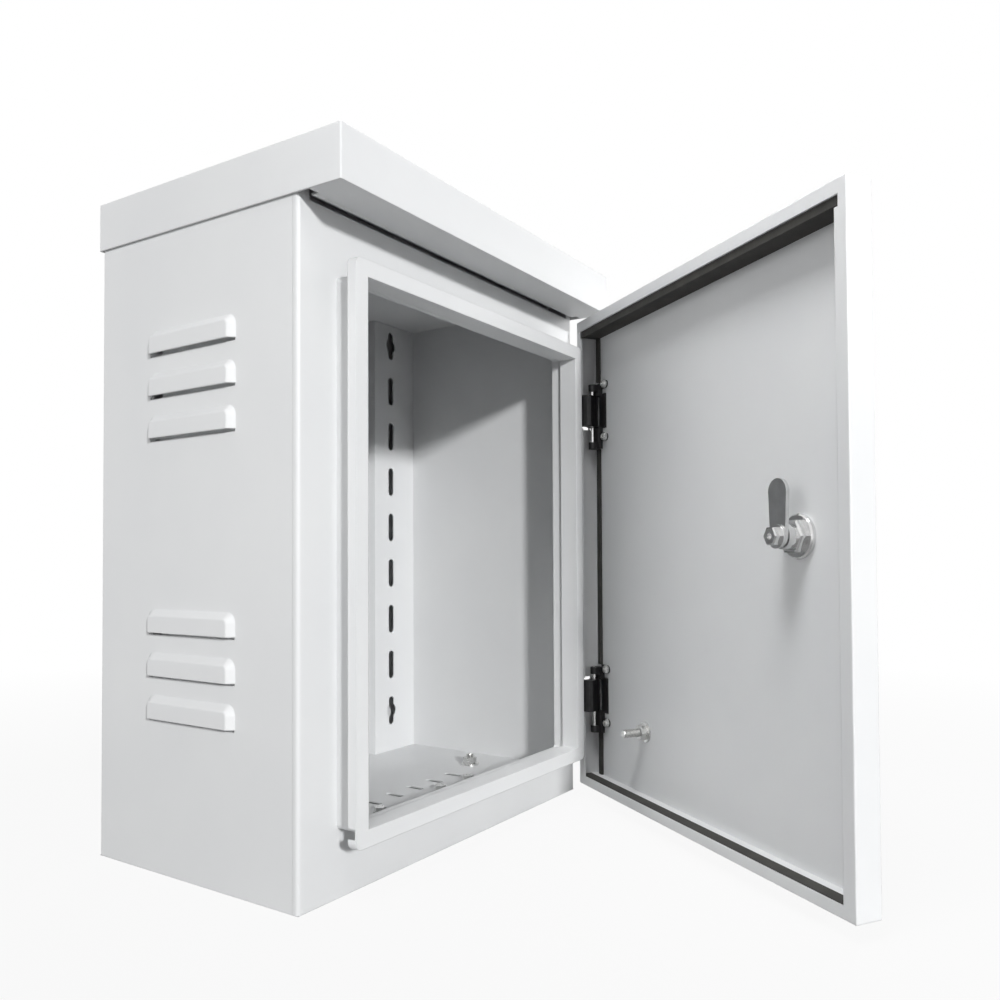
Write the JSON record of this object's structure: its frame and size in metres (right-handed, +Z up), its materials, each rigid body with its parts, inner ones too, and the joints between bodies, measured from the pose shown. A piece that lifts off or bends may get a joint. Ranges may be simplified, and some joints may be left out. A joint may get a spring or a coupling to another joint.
{
  "type": "roadside utility cabinet",
  "caption": "Free-standing sheet-steel outdoor cabinet with a rain roof, a louvered side, a raised rim, slotted mounting rails and a gasketed door on concealed hinges with a cam lock.",
  "frame": {"origin": "middle of the body's base, on the ground under the walls' bottom edges", "axes": "+Z up, -Y out of the front opening, +X towards the hinges; the door rests open"},
  "size_m": [0.4071, 0.6033, 0.5655],
  "materials": {
    "body_paint": "semi-gloss powder coat",
    "door_paint": "semi-gloss powder coat",
    "zinc": "zinc plated",
    "hinge_black": "black coated cast metal",
    "pin_steel": "bright steel",
    "seal_rubber": "matt foam",
    "lock_chrome": "polished"
  },
  "bodies": {
    "cabinet": {"front_panel": "body_paint", "rim_cap": "body_paint", "body_wrap": "body_paint", "top_plate": "body_paint", "floor_plate": "body_paint", "roof_canopy": "body_paint", "mounting_rail_left": "body_paint", "mounting_rail_right": "body_paint", "floor_bolts": "zinc", "floor_earth_stud": "zinc", "floor_earth_washer": "zinc", "floor_earth_nut": "zinc", "block_screws": "zinc", "hinge_block_upper": "hinge_black", "hinge_block_lower": "hinge_black"},
    "door": {"door_panel": "door_paint", "gasket_rail": "door_paint", "hinge_leaf_upper": "hinge_black", "hinge_leaf_lower": "hinge_black", "hinge_pin_upper": "pin_steel", "hinge_pin_lower": "pin_steel", "leaf_screws": "zinc", "door_earth_stud": "zinc", "door_earth_washer": "zinc", "door_earth_nut": "zinc", "gasket_top": "seal_rubber", "gasket_free_side": "seal_rubber", "gasket_hinge_side": "seal_rubber", "lower_gasket": "seal_rubber", "lock_housing": "lock_chrome", "lock_washer": "lock_chrome", "lock_nut": "lock_chrome"},
    "lock": {"lock_plug": "lock_chrome", "lock_cam": "lock_chrome", "cam_washer": "lock_chrome", "cam_bolt": "lock_chrome"}
  },
  "joints": [
    {"name": "door_swing", "type": "hinge", "parent": "cabinet", "child": "door", "pos_m": [0.18905, -0.1541, 0], "axis": [0, 0, 1], "range_deg": [-55.84, 54.16]},
    {"name": "lock_turn", "type": "hinge", "parent": "door", "child": "lock", "pos_m": [0.01852, -0.41858, 0.269], "axis": [0.8275, -0.5615, 0], "range_deg": [0, 90]}
  ]
}
